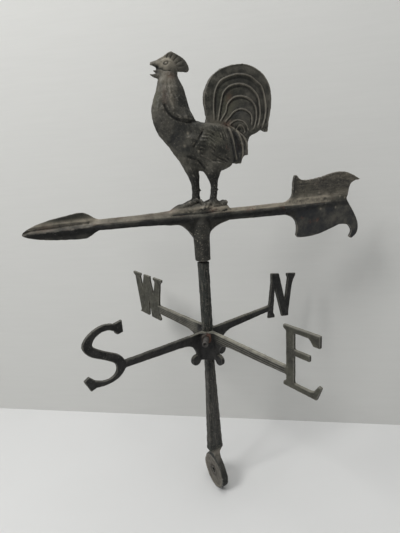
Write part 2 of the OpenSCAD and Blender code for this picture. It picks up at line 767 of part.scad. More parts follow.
// South: one stroke along its middle line, swelling in the spine.
// A station is [x, z, stroke width], for a letter 54 wide and 76 high.
letter_s_w = 54;
drawn_s = [54, 76];
s_stations = [
    [45, 67.5, 8], [37.5, 71.4, 8], [27, 71.6, 8], [16.5, 66.8, 9], [10, 58.5, 11.5],
    [11, 52, 11], [16.3, 45.8, 10.8], [28.3, 37.9, 10], [40.5, 29.7, 11], [45.6, 22.5, 11.8],
    [45.8, 14.5, 11.4], [41, 7.6, 8.3], [32.3, 3.8, 6], [23.4, 3.8, 6.3], [15, 6, 8], [9, 9.5, 8]
];
module shape_s() {
    line = curve(s_stations, 3);
    last = len(line) - 1;
    sides = [
        for (i = [0 : last])
            let (a = line[max(i - 1, 0)], b = line[min(i + 1, last)],
                 across = [a[1] - b[1], b[0] - a[0]] / norm([b[0] - a[0], b[1] - a[1]]) * line[i][2] / 2)
                [[line[i][0] + across[0], line[i][1] + across[1]],
                 [line[i][0] - across[0], line[i][1] - across[1]]]
    ];
    scale([letter_s_w / drawn_s[0], letter_h / drawn_s[1]]) {
        polygon([for (i = [0 : last]) sides[i][1], for (i = [last : -1 : 0]) sides[i][0]]);
        // Slab ends of the two bowls
        polygon([[43.6, 61.5], [46.5, 58.5], [54, 60], [54, 75.5], [43.6, 73.2]]);
        polygon([[0, 15.5], [6.5, 0.4], [14, 2.2], [12, 13], [6.5, 19.5]]);
    }
}

// Letter t thick that reads from the south-east, from start along a direction, lifted by rise
module letter(turn, start, rise, t) {
    rotate([0, 0, turn])
        translate([start, t / 2, rise - arm_rise])
            rotate([90, 0, 0])
                linear_extrude(t)
                    children();
}
// The north letter leans about a point well inside it, and sits a little lower on its arm
lean_x = 35;
north_drop = 5;
module place_n(t) {
    translate([n_start + lean_x, 0, 0])
        rotate([0, north_lean, 0])
            letter(0, -lean_x, -north_drop, t) shape_n();
}
module place_e(t) { letter(270, e_start, 0, t) shape_e(); }
module place_s(t) { letter(0, -s_start - letter_s_w, south_rise, t) shape_s(); }
module place_w(t) { letter(270, -w_start - letter_w_w, 0, t) shape_w(); }
module letter_n() { color(IRON) on_compass() place_n(letter_t); }
module letter_e() { color(IRON) on_compass() place_e(letter_t); }
module letter_s() { color(IRON) on_compass() place_s(letter_t); }
module letter_w() { color(IRON) on_compass() place_w(letter_t); }

// Clamp bolt

// Hexagonal prism on the bolt's axis, from a distance towards the south-east
module hexagon_on_bolt(from, thickness) {
    bolt_axis()
        translate([0, 0, from])
            cylinder(h = thickness, d = nut_af / cos(30), $fn = 6);
}

module clamp_bolt() {
    color(STEEL) {
        hexagon_on_bolt(-land_reach - head_t, head_t);
        bolt_axis()
            translate([0, 0, -land_reach])
                cylinder(h = bolt_len, d = bolt_d, $fn = 32);
    }
}

module clamp_nut() {
    color(RUST)
        difference() {
            hexagon_on_bolt(land_reach, nut_t);
            bolt_axis()
                translate([0, 0, land_reach - 1])
                    cylinder(h = nut_t + 2, d = bolt_d, $fn = 32);
        }
}

rooster();
arrow_bar();
arrow_point();
arrow_fin();
pivot_socket();
spindle_pin();
mast();
front_clamp();
rear_clamp();
arm_north();
arm_east();
arm_south();
arm_west();
letter_n();
letter_e();
letter_s();
letter_w();
clamp_bolt();
clamp_nut();
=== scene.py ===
import math

import bmesh
import bpy
import numpy as np
from mathutils import Matrix, Vector, noise
from mathutils.bvhtree import BVHTree


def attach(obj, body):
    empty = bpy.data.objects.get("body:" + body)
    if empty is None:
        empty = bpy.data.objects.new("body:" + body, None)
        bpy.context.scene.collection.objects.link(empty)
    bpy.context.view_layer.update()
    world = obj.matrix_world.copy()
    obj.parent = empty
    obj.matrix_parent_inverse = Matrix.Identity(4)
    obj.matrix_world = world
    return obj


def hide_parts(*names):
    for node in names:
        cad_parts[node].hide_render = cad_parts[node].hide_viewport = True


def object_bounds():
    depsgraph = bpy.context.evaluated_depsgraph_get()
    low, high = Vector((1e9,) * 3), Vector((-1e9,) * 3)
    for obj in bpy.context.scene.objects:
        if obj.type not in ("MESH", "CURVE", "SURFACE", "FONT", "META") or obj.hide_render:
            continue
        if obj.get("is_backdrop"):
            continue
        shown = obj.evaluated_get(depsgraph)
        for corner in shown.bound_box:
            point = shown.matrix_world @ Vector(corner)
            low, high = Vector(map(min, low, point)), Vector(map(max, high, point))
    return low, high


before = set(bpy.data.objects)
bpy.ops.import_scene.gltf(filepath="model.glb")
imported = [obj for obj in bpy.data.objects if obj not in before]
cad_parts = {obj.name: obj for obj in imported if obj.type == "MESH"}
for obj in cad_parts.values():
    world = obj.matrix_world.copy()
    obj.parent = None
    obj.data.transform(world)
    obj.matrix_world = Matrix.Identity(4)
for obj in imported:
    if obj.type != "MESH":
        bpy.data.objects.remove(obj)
cad_low, cad_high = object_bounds()
scene = bpy.context.scene

# The viewpoint: a hand-held view from the south-east side, a little above the arrow,
# close enough that the foot of the mast draws together.
TURN, TILT, ROLL = math.radians(-27.8), math.radians(14.7), math.radians(-3.8)
back = Vector((math.sin(TURN) * math.cos(TILT), -math.cos(TURN) * math.cos(TILT), math.sin(TILT)))
level = Vector((math.cos(TURN), math.sin(TURN), 0))
upright = back.cross(level)
right = level * math.cos(ROLL) + upright * math.sin(ROLL)
up = upright * math.cos(ROLL) - level * math.sin(ROLL)
EYE_AWAY, EYE_ASIDE, AIM_HEIGHT = 0.4845, -0.0046, 0.3295
eye_place = back * EYE_AWAY + level * EYE_ASIDE + Vector((0, 0, AIM_HEIGHT))
lens = bpy.data.cameras.new("viewpoint")
lens.sensor_width = 36
lens.lens = 24.39
lens.clip_start = 0.01
viewpoint = bpy.data.objects.new("viewpoint", lens)
scene.collection.objects.link(viewpoint)
viewpoint.matrix_world = Matrix.Translation(eye_place) @ Matrix((right, up, back)).transposed().to_4x4()
scene.camera = viewpoint


# The floor and the wall behind: smooth pale sheets, the wall faintly ribbed like lining paper and
# clear from its own rear. The mast's disc just touches the floor, and the wall leans back from its
# foot, so that the turning feather stays clear of it.
MM = 0.001


def matte(name, colour, rib=0.0):
    """Pale painted surface, with faint level ribs where rib is above 0."""
    m = bpy.data.materials.new(name)
    m.use_nodes = True
    nt = m.node_tree
    shader = nt.nodes["Principled BSDF"]
    shader.inputs["Roughness"].default_value = 0.9
    shader.inputs["Specular IOR Level"].default_value = 0.2
    place = nt.nodes.new("ShaderNodeTexCoord")
    stretch = nt.nodes.new("ShaderNodeMapping")
    stretch.inputs["Scale"].default_value = (6, 6, 90) if rib else (5, 5, 5)
    cloud = nt.nodes.new("ShaderNodeTexNoise")
    cloud.inputs["Scale"].default_value = 2.0
    cloud.inputs["Detail"].default_value = 4
    tint = nt.nodes.new("ShaderNodeMix")
    tint.data_type = "RGBA"
    tint.inputs["A"].default_value = (*[c * (0.97 if rib else 0.99) for c in colour], 1)
    tint.inputs["B"].default_value = (*[min(1, c * 1.02) for c in colour], 1)
    nt.links.new(place.outputs["Object"], stretch.inputs["Vector"])
    nt.links.new(stretch.outputs["Vector"], cloud.inputs["Vector"])
    nt.links.new(cloud.outputs["Fac"], tint.inputs["Factor"])
    nt.links.new(tint.outputs["Result"], shader.inputs["Base Color"])
    if rib:
        comb = nt.nodes.new("ShaderNodeMapping")
        comb.inputs["Scale"].default_value = (7, 7, 420)
        threads = nt.nodes.new("ShaderNodeTexNoise")
        threads.inputs["Scale"].default_value = 1.0
        threads.inputs["Detail"].default_value = 3
        relief = nt.nodes.new("ShaderNodeBump")
        relief.inputs["Strength"].default_value = rib
        relief.inputs["Distance"].default_value = 0.8 * MM
        nt.links.new(place.outputs["Object"], comb.inputs["Vector"])
        nt.links.new(comb.outputs["Vector"], threads.inputs["Vector"])
        nt.links.new(threads.outputs["Fac"], relief.inputs["Height"])
        nt.links.new(relief.outputs["Normal"], shader.inputs["Normal"])
        side = nt.nodes.new("ShaderNodeNewGeometry")
        clear = nt.nodes.new("ShaderNodeBsdfTransparent")
        one_sided = nt.nodes.new("ShaderNodeMixShader")
        nt.links.new(side.outputs["Backfacing"], one_sided.inputs["Fac"])
        nt.links.new(shader.outputs["BSDF"], one_sided.inputs[1])
        nt.links.new(clear.outputs["BSDF"], one_sided.inputs[2])
        nt.links.new(one_sided.outputs["Shader"], nt.nodes["Material Output"].inputs["Surface"])
    return m


floor_z = cad_low[2] - 0.3 * MM
wall_turn = math.radians(-37.2)
wall_away = 156 * MM
wall_lean = 0.56
sheet_half = 4
along = Vector((math.cos(wall_turn), math.sin(wall_turn), 0))
outward = Vector((-along.y, along.x, 0))


def sheet(name, corners, material):
    """Flat sheet between four corners."""
    me = bpy.data.meshes.new(name)
    me.from_pydata([tuple(c) for c in corners], [], [(0, 1, 2, 3)])
    me.materials.append(material)
    o = bpy.data.objects.new(name, me)
    scene.collection.objects.link(o)
    o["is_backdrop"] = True


wall_foot = outward * wall_away + Vector((0, 0, floor_z))
wall_rise = Vector((0, 0, sheet_half)) + outward * wall_lean
left_foot, right_foot = wall_foot - along * sheet_half, wall_foot + along * sheet_half
sheet("wall", [left_foot, right_foot, right_foot + wall_rise, left_foot + wall_rise],
      matte("wall_paper", (0.595, 0.594, 0.571), rib=0.10))
sheet("floor", [left_foot - outward * sheet_half, right_foot - outward * sheet_half, right_foot, left_foot],
      matte("pale_floor", (0.64, 0.64, 0.63)))


# The light: a broad soft window above and to the left in front, a softer one overhead, and an even
# pale room around, so that the black iron still shows its forms in shade.
def soft_light(name, place, aim, size, power):
    """Area light at place, facing aim."""
    lamp = bpy.data.lights.new(name, "AREA")
    lamp.shape = "RECTANGLE"
    lamp.size, lamp.size_y = size
    lamp.energy = power
    o = bpy.data.objects.new(name, lamp)
    scene.collection.objects.link(o)
    o.location = place
    o.rotation_euler = (Vector(aim) - Vector(place)).to_track_quat("-Z", "Y").to_euler()


soft_light("window", back * 0.9 - level * 1.2 + Vector((0, 0, 1.6)), (0, 0, 0.3), (0.7, 0.7), 26)
soft_light("ceiling", (-0.1, -0.3, 2.2), (0, 0, 0.3), (1.2, 1.2), 19)
room = bpy.data.worlds.new("room")
scene.world = room
room.use_nodes = True
room.node_tree.nodes["Background"].inputs["Color"].default_value = (0.95, 0.97, 1.0, 1)
room.node_tree.nodes["Background"].inputs["Strength"].default_value = 0.24


# The vane: rooster, arrow and socket are one grey iron casting from a two-part sand mould.
# Its skin is rebuilt in fine steps over the CAD forms, with soft casting edges and pitting.
# Lengths from here on are in millimetres: the arrow's ridge over the knuckle bore, the skin's step.
ARROW_RIDGE = 396.8
SKIN_STEP = 0.8
HEADING = math.radians(170.5)


def read(names):
    """Vertices in millimetres, and faces, of several CAD nodes as one soup."""
    points, faces = [], []
    for n in names:
        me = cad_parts[n].data
        start = len(points)
        points += [tuple(v.co / MM) for v in me.vertices]
        faces += [[start + k for k in p.vertices] for p in me.polygons]
    return points, faces


def mesh_of(name, points, faces, scale=1.0):
    """Mesh from points and faces."""
    me = bpy.data.meshes.new(name)
    me.from_pydata([tuple(p) for p in np.asarray(points) * scale], [], [list(f) for f in faces])
    me.validate()
    return me


def reskin(points, faces, voxel, rounds):
    """One even skin of quads over a soup of closed forms, smoothed a few rounds."""
    me = mesh_of("soup", points, faces)
    o = bpy.data.objects.new("soup", me)
    scene.collection.objects.link(o)
    step = o.modifiers.new("skin", "REMESH")
    step.mode = "VOXEL"
    step.voxel_size = voxel
    step.adaptivity = 0
    done = o.evaluated_get(bpy.context.evaluated_depsgraph_get()).to_mesh()
    p = np.zeros(len(done.vertices) * 3)
    done.vertices.foreach_get("co", p)
    p = p.reshape(-1, 3)
    q = np.array([list(f.vertices) for f in done.polygons])
    bpy.data.objects.remove(o)
    return relax(p, q, rounds), q


def relax(p, q, rounds):
    """Smooths points over the edges of their quads, each round halfway to the middle of its neighbours."""
    a = np.concatenate([q[:, k] for k in range(4)])
    b = np.concatenate([q[:, (k + 1) % 4] for k in range(4)])
    count = np.bincount(a, minlength=len(p)) + np.bincount(b, minlength=len(p))
    for _ in range(rounds):
        total = np.stack([np.bincount(a, p[b, k], len(p)) + np.bincount(b, p[a, k], len(p))
                          for k in range(3)], -1)
        p = p + 0.5 * (total / np.maximum(count, 1)[:, None] - p)
    return p


def normals(p, q):
    """Unit normal of each point."""
    n = np.cross(p[q[:, 2]] - p[q[:, 0]], p[q[:, 3]] - p[q[:, 1]])
    out = np.stack([sum(np.bincount(q[:, k], n[:, c], len(p)) for k in range(4)) for c in range(3)], -1)
    return out / np.maximum(np.linalg.norm(out, axis=1), 1e-9)[:, None]


def rough(p, size, seed, octaves):
    """Smooth noise from about -1 to 1 at each point, with lumps of a size in millimetres."""
    shift = Vector((seed * 17.3, seed * 7.9, seed * 3.1))
    return np.array([noise.fractal(Vector(v) / size + shift, 1.0, 2.0, octaves) for v in p.tolist()])


def pitted(p, q, depth, seed, lump=7.0, pit=1.8):
    """Sand-cast skin: low lumps, and small pits that bite in."""
    n = normals(p, q)
    wave = rough(p, lump, seed, 2)
    holes = np.clip(rough(p, pit, seed + 5, 2) - 0.25, 0, 1)
    return p + n * (depth * (0.8 * wave - 1.3 * holes))[:, None]


def to_vane(p):
    """The shared frame to the arrow's own: distance behind the spindle, sideways, height over the ridge."""
    c, s = math.cos(HEADING), math.sin(HEADING)
    return np.stack([-(p[:, 0] * c + p[:, 1] * s), -p[:, 0] * s + p[:, 1] * c, p[:, 2] - ARROW_RIDGE], -1)


def from_vane(v):
    """The arrow's own frame back to the shared frame."""
    c, s = math.cos(HEADING), math.sin(HEADING)
    return np.stack([-v[:, 0] * c - v[:, 1] * s, -v[:, 0] * s + v[:, 1] * c, v[:, 2] + ARROW_RIDGE], -1)


def parts_of(p, q, names):
    """For each quad, the number of the CAD node that it lies nearest to."""
    trees = []
    for n in names:
        points, faces = read([n])
        trees.append(BVHTree.FromPolygons(points, faces))
    middle = p[q].mean(1)
    gap = np.array([[t.find_nearest(Vector(m))[3] for t in trees] for m in middle.tolist()])
    return gap.argmin(1)


def near(b, h, b0, h0, wide, tall):
    """1 at a place, falling softly to 0 around it."""
    return np.exp(-((b - b0) / wide) ** 2 - ((h - h0) / tall) ** 2)


def blend(x, low, high):
    """0 below low, 1 above high, smooth between."""
    s = np.clip((x - low) / (high - low), 0, 1)
    return s * s * (3 - 2 * s)


def standout_of(p, q):
    """How far each point stands out of its surroundings, or lies below them, from -1 to 1."""
    full_standout = 0.28
    out = ((p - relax(p, q, 6)) * normals(p, q)).sum(1)
    return np.clip(out / full_standout, -1, 1)


def balls(run, count):
    """Small balls along a line of (back, side, height, radius), to weld onto a casting."""
    run = np.array(run, float)
    points, faces = [], []
    for t in np.linspace(0, len(run) - 1, count):
        i = min(int(t), len(run) - 2)
        at = run[i] + (t - i) * (run[i + 1] - run[i])
        bm = bmesh.new()
        bmesh.ops.create_icosphere(bm, subdivisions=2, radius=at[3])
        start = len(points)
        points += [tuple(np.array(w.co) + at[:3]) for w in bm.verts]
        faces += [[start + w.index for w in f.verts] for f in bm.faces]
        bm.free()
    return points, faces


def drum(radius, low, high):
    """Upright cylinder on the spindle axis, to weld onto a casting."""
    bm = bmesh.new()
    place = Matrix.Translation((0, 0, (low + high) / 2))
    bmesh.ops.create_cone(bm, cap_ends=True, segments=64, radius1=radius, radius2=radius,
                          depth=high - low, matrix=place)
    points = [tuple(w.co) for w in bm.verts]
    faces = [[w.index for w in f.verts] for f in bm.faces]
    bm.free()
    return points, faces


def piece(name, node, body, material, p, q, keep, tints=None, wear_and_shade_scale=1):
    """Makes one piece of the quads picked by keep, with the whole casting's smooth normals, its stains, and
    its painted light and shade.
    """
    n = normals(p, q)
    used, back_to = np.unique(q[keep], return_inverse=True)
    me = mesh_of(name, p[used], back_to.reshape(-1, 4), MM)
    me.polygons.foreach_set("use_smooth", [True] * len(me.polygons))
    me.normals_split_custom_set_from_vertices([tuple(v) for v in n[used]])
    for key, values in {"wear_and_shade": standout_of(p, q) * wear_and_shade_scale, **(tints or {})}.items():
        layer = me.attributes.new(key, "FLOAT", "POINT")
        layer.data.foreach_set("value", np.clip(values, -1, 1)[used])
    me.materials.append(material)
    o = bpy.data.objects.new(name, me)
    scene.collection.objects.link(o)
    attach(o, body)
    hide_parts(node)


# Near-black and slate-blue serve as soot and slate tone and also as painted shade; olive is a plain tint.
SOOT_AND_SHADE = (0.009, 0.009, 0.008)
OLIVE = (0.075, 0.074, 0.046)
SLATE_AND_SHADE = (0.026, 0.028, 0.034)


def iron(name, dark, light, bare_and_lit, pale, rust=(0.13, 0.062, 0.042), rust_share=0.2, specks=0.3,
         rough_low=0.5, rough_high=0.8, lump=60):
    """Weathered cast iron: mottled skin, stained zones that also carry painted shade and painted highlights,
    painted shade in hollows, bare edges, rust bloom.
    """
    grain = 520
    m = bpy.data.materials.new(name)
    m.use_nodes = True
    nt = m.node_tree
    shader = nt.nodes["Principled BSDF"]
    shader.inputs["Metallic"].default_value = 0.0
    shader.inputs["Specular IOR Level"].default_value = 0.3
    place = nt.nodes.new("ShaderNodeTexCoord").outputs["Object"]

    def cloud(scale, detail, roughness=0.6):
        t = nt.nodes.new("ShaderNodeTexNoise")
        t.inputs["Scale"].default_value = scale
        t.inputs["Detail"].default_value = detail
        t.inputs["Roughness"].default_value = roughness
        nt.links.new(place, t.inputs["Vector"])
        return t.outputs["Fac"]

    def tint_of(key):
        a = nt.nodes.new("ShaderNodeAttribute")
        a.attribute_name = key
        return a.outputs["Fac"]

    def span(value, low, high, out_low=0.0, out_high=1.0):
        r = nt.nodes.new("ShaderNodeMapRange")
        r.interpolation_type = "SMOOTHSTEP"
        nt.links.new(value, r.inputs["Value"])
        for key, v in (("From Min", low), ("From Max", high), ("To Min", out_low), ("To Max", out_high)):
            r.inputs[key].default_value = v
        return r.outputs["Result"]

    def mix(factor, a, b):
        t = nt.nodes.new("ShaderNodeMix")
        t.data_type = "RGBA"
        nt.links.new(factor, t.inputs["Factor"])
        for key, v in (("A", a), ("B", b)):
            if isinstance(v, tuple):
                t.inputs[key].default_value = (*v, 1)
            else:
                nt.links.new(v, t.inputs[key])
        return t.outputs["Result"]

    def times(a, b):
        t = nt.nodes.new("ShaderNodeMath")
        t.operation = "MULTIPLY"
        nt.links.new(a, t.inputs[0])
        nt.links.new(b, t.inputs[1])
        return t.outputs["Value"]

    coarse, fine = cloud(lump, 6), cloud(grain, 4, 0.7)
    skin = mix(span(coarse, 0.36, 0.64), dark, light)
    skin = mix(times(tint_of("olive"), span(coarse, 0.2, 0.6)), skin, OLIVE)
    # Slate tone, and painted shade on down-facing and lower parts.
    skin = mix(times(tint_of("slate_and_shade"), span(coarse, 0.8, 0.3)), skin, SLATE_AND_SHADE)
    skin = mix(times(tint_of("pale"), span(cloud(lump * 2.2, 6, 0.7), 0.25, 0.6, 0.35, 1)), skin, pale)
    bloom_from = 0.66 - rust_share * 0.2
    skin = mix(times(span(cloud(lump * 0.7, 8, 0.7), bloom_from, 0.76 - rust_share * 0.2),
                     span(fine, 0.35, 0.6)), skin, rust)
    skin = mix(times(tint_of("rust"), span(fine, 0.3, 0.6)), skin, rust)
    # Near-black for soot and for painted shade.
    skin = mix(times(tint_of("soot_and_shade"), span(coarse, 0.2, 0.5, 0.6, 1)), skin, SOOT_AND_SHADE)
    skin = mix(times(tint_of("flecks"), span(cloud(grain * 1.3, 2, 0.5), 0.64, 0.70)), skin, pale)
    skin = mix(span(fine, 0.62, 0.70, 0, specks), skin, bare_and_lit)
    # Painted shade: points that lie below their surroundings are darkened.
    skin = mix(span(tint_of("wear_and_shade"), -0.1, -0.8, 0, 0.8), skin, tuple(c * 0.45 for c in dark))
    rubbed_edge = span(tint_of("wear_and_shade"), 0.25, 1.0, 0, 0.85)
    skin = mix(times(rubbed_edge, span(cloud(lump * 5, 4), 0.25, 0.55, 0.3, 1)), skin, bare_and_lit)
    nt.links.new(skin, shader.inputs["Base Color"])
    nt.links.new(span(cloud(lump * 3, 4), 0.3, 0.7, rough_low, rough_high), shader.inputs["Roughness"])
    pits = nt.nodes.new("ShaderNodeBump")
    pits.inputs["Strength"].default_value = 0.5
    pits.inputs["Distance"].default_value = 0.6 * MM
    nt.links.new(cloud(grain * 0.8, 5, 0.65), pits.inputs["Height"])
    nt.links.new(pits.outputs["Normal"], shader.inputs["Normal"])
    return m


def path_gap(b, h, path):
    """Distance of each point from a drawn line, and how far along it the nearest place is, 0 to 1."""
    best = np.full(len(b), 1e9)
    where = np.zeros(len(b))
    path = np.array(path, float)
    run = np.concatenate([[0], np.cumsum(np.linalg.norm(np.diff(path, axis=0), axis=1))])
    for i in range(len(path) - 1):
        d = path[i + 1] - path[i]
        t = np.clip(((b - path[i, 0]) * d[0] + (h - path[i, 1]) * d[1]) / (d @ d), 0, 1)
        gap = np.hypot(b - path[i, 0] - t * d[0], h - path[i, 1] - t * d[1])
        closer = gap < best
        best[closer] = gap[closer]
        where[closer] = (run[i] + t[closer] * (run[i + 1] - run[i])) / run[-1]
    return best, where


def curve(points):
    """Smooth line through points, in four steps from each to the next."""
    steps = 4
    p = [np.array(q, float) for q in points]
    p = [2 * p[0] - p[1]] + p + [2 * p[-1] - p[-2]]
    out = []
    for a, b, c, d in zip(p, p[1:], p[2:], p[3:]):
        for k in range(steps):
            t = k / steps
            out.append(0.5 * (2 * b + (c - a) * t + (2 * a - 5 * b + 4 * c - d) * t ** 2
                              + (3 * b - a - 3 * c + d) * t ** 3))
    out.append(p[-2])
    return out


def line(b, h, points, height, width, taper=0.15):
    """Raised, or with a negative height sunk, line along points that fades at its ends."""
    out = np.zeros(len(b))
    box = np.array(points, float)
    low, high = box.min(0) - 3 * width - 2, box.max(0) + 3 * width + 2
    close = (b > low[0]) & (b < high[0]) & (h > low[1]) & (h < high[1])
    gap, where = path_gap(b[close], h[close], curve(points))
    fade = np.clip(where / taper, 0, 1) * np.clip((1 - where) / taper, 0, 1)
    out[close] = height * np.sqrt(fade) * np.exp(-(gap / width) ** 2)
    return out


def fan(b, h, first, last, count, height, width, bow, taper=0.22):
    """Fan of strokes, from the first (start, end) pair to the last, each bowed aside, with sunk gaps."""
    first, last = np.array(first, float), np.array(last, float)
    out = np.zeros(len(b))
    for k in range(count):
        (x0, z0), (x1, z1) = first + (last - first) * k / (count - 1)
        sway = 0.5 * math.sin(2.4 * k + 1)
        mid = ((x0 + x1) / 2 + bow[0] + sway, (z0 + z1) / 2 + bow[1] + sway)
        early, late = 0.14 * math.sin(5.1 * k), 0.14 * math.sin(3.3 * k + 2)
        x0, z0, x1, z1 = (x0 + early * (x1 - x0), z0 + early * (z1 - z0),
                          x1 + late * (x1 - x0), z1 + late * (z1 - z0))
        part = height * (1 + 0.3 * math.sin(3.7 * k))
        out += line(b, h, [(x0, z0), mid, (x1, z1)], part, width, taper)
    gap = (last - first) / (count - 1) / 2
    for k in range(count - 1):
        (x0, z0), (x1, z1) = first + (last - first) * k / (count - 1) + gap
        out += line(b, h, [(x0, z0), ((x0 + x1) / 2 + bow[0], (z0 + z1) / 2 + bow[1]), (x1, z1)],
                    -height * 0.8, width * 0.8, taper)
    return out


# The rooster on the vane: cast in low relief on both sides, with a cape of neck feathers, a wing,
# hanging coverts, and a tail of nested sickle feathers whose edges stand up as thin ridges.
tail_arcs = [
    [(26, 113), (26, 130), (28.5, 146), (33.8, 156), (41.5, 161.5), (53.8, 165.5), (63, 166.5),
     (75.4, 164.5), (84.6, 159), (92.3, 152.5), (96, 141.5), (97.7, 129.5), (96, 115.5), (91, 103)],
    [(30.8, 113), (33.8, 126), (37, 138.5), (40, 146), (47.7, 152.5), (60, 155.5), (72.3, 153.5),
     (81.5, 147.5), (87, 140), (89, 127.5), (88.5, 115.5), (85, 104)],
    [(33.8, 112.5), (41.5, 123), (44.6, 132.5), (52.3, 139.3), (61.5, 141.5), (72.3, 139.3),
     (80, 133.5), (83.8, 124.5), (83, 112.5), (79, 102)],
    [(40, 111.5), (47.7, 118.5), (52.3, 123), (61.5, 126.5), (70.8, 124.5), (77, 118.5), (77, 107)],
    [(46, 108.5), (52.3, 112.5), (58, 113.6), (65, 112), (70, 107), (72, 101)],
    [(55, 103), (58, 106.5), (62, 107.5), (66, 104.5), (67.5, 99)],
]
tail_rim = [(15, 113), (14, 125), (13.4, 136), (14.5, 146), (19.5, 158), (25, 165.5), (34, 171),
            (46, 175.5), (60, 178), (70, 178), (79, 175.5), (89, 170.5), (96.5, 163.5), (101.5, 156),
            (104, 145), (104, 132), (102, 121), (99.5, 110), (98.5, 101)]
coverts = [
    [(44, 106), (48.5, 95), (52, 80), (54.5, 66)],
    [(55, 102), (61, 90), (63.5, 77), (61.5, 66)],
    [(43, 109), (55, 102), (64.5, 94), (69.5, 84), (70.5, 73)],
]
cape_edge = [(-35, 134), (-32, 126), (-26, 119), (-17, 115), (-7, 114), (3, 115), (12, 116)]


def relief(b, h, broken):
    """Height of the surface detail over the plain form, in millimetres; feather strokes are broken up."""
    d = np.zeros(len(b))
    # Tail: each sickle's edge stands up, with a hollow just inside it, and the rim is raised
    middle = (62, 110)
    for arc in tail_arcs:
        d += line(b, h, arc, 1.25, 0.85, 0.05)
        inner = [(x + (middle[0] - x) * 0.07, z + (middle[1] - z) * 0.07) for x, z in arc]
        d += line(b, h, inner, -0.8, 1.9, 0.1)
    d += line(b, h, tail_rim, 0.8, 1.5, 0.05)
    d -= 1.2 * near(b, h, 60.5, 103.5, 1.6, 1.6)
    # Coverts: long blades with raised edges and sunk middles
    for c in coverts:
        d += line(b, h, c, 1.1, 1.2, 0.1)
    d += line(b, h, [(50, 101), (56, 88), (58.5, 74)], -1.6, 2.6, 0.2)
    d += line(b, h, [(62, 95), (66.5, 86), (67, 76)], -1.1, 1.8, 0.2)
    d += line(b, h, [(41, 103), (46, 93), (49, 78), (51, 67)], -1.2, 1.5, 0.15)
    # Cape of neck feathers: its lower edge stands over back and breast
    d += line(b, h, cape_edge, 0.35, 2.6, 0.12)
    d += line(b, h, [(x + 0.4, z - 4.0) for x, z in cape_edge], -1.9, 1.9, 0.12)
    d += fan(b, h, ((-36, 163), (-36, 124)), ((-18, 161), (2, 120)), 7, 0.32, 1.8, (-4.5, 0), 0.25)
    d += line(b, h, [(-26, 152), (-27, 138), (-22, 122)], 0.8, 2.6, 0.3)
    # Head: almond eye under a brow, cheek line, ear, grooves in the comb
    d -= 0.6 * np.exp(-((np.hypot((b + 29.2) / 1.5, h - 174.4 - 0.15 * (b + 29.2)) - 1.6) / 0.6) ** 2)
    d += line(b, h, [(-37, 177), (-33, 178.6), (-29.4, 179.4), (-25.5, 177.8), (-23.8, 175.4)], 0.6, 1.0)
    d += line(b, h, [(-38, 170.6), (-34, 168.2), (-29.5, 166.3), (-23.5, 166.3)], -0.8, 0.9)
    d += 0.35 * np.exp(-((np.hypot(b + 27.4, h - 164) - 1.8) / 0.8) ** 2)
    d += line(b, h, [(-46, 174.6), (-42, 173.4), (-37.5, 171.0)], -1.2, 1.7, 0.2)
    for x0, z0, x1, z1 in [(-28.5, 181, -25, 187.5), (-24.5, 180.5, -20, 187), (-21, 179, -14.5, 184.5),
                           (-18, 176.5, -9.5, 180.5), (-16, 173.5, -7, 174.5)]:
        d += line(b, h, [(x0, z0), ((x0 + x1) / 2 - 0.5, (z0 + z1) / 2), (x1, z1)], -0.5, 0.9, 0.3)
    # Wing: sunk front edge, then feathers that run back; saddle and thigh feathers behind and below
    wing = line(b, h, [(11, 101), (8.5, 95), (3, 87), (-5, 79)], -1.5, 1.8, 0.15)
    wing += fan(b, h, ((13, 99), (26, 93)), ((-3, 77), (29, 65)), 7, 0.4, 1.1, (1.5, 2.5))
    wing += fan(b, h, ((18, 107), (32, 80)), ((38, 105), (44, 72)), 5, 0.5, 1.1, (1.5, 1))
    wing += fan(b, h, ((-3, 73), (24, 60)), ((10, 60), (22, 50)), 5, 0.45, 1.2, (1, 2))
    wing += fan(b, h, ((28, 73), (47, 65)), ((28, 62), (41, 56)), 4, 0.5, 1.1, (1, 1))
    d += wing * broken
    d += line(b, h, [(-19, 73.5), (-10, 71), (1, 67), (9, 59), (15, 51)], -1.6, 1.7, 0.3)
    # Legs: scaled bands
    band_pitch = 3.2
    scaled = blend(h, 20, 26) * blend(-h, -42, -36) * blend(-np.abs(b - 9), -30, -25)
    return d + 0.06 * scaled * np.sin(h * 2 * math.pi / band_pitch)


vane_nodes = ["rooster", "arrow_bar", "arrow_point", "arrow_fin", "pivot_socket"]
points, faces = read(vane_nodes)
points = [tuple(w) for w in to_vane(np.array(points))]
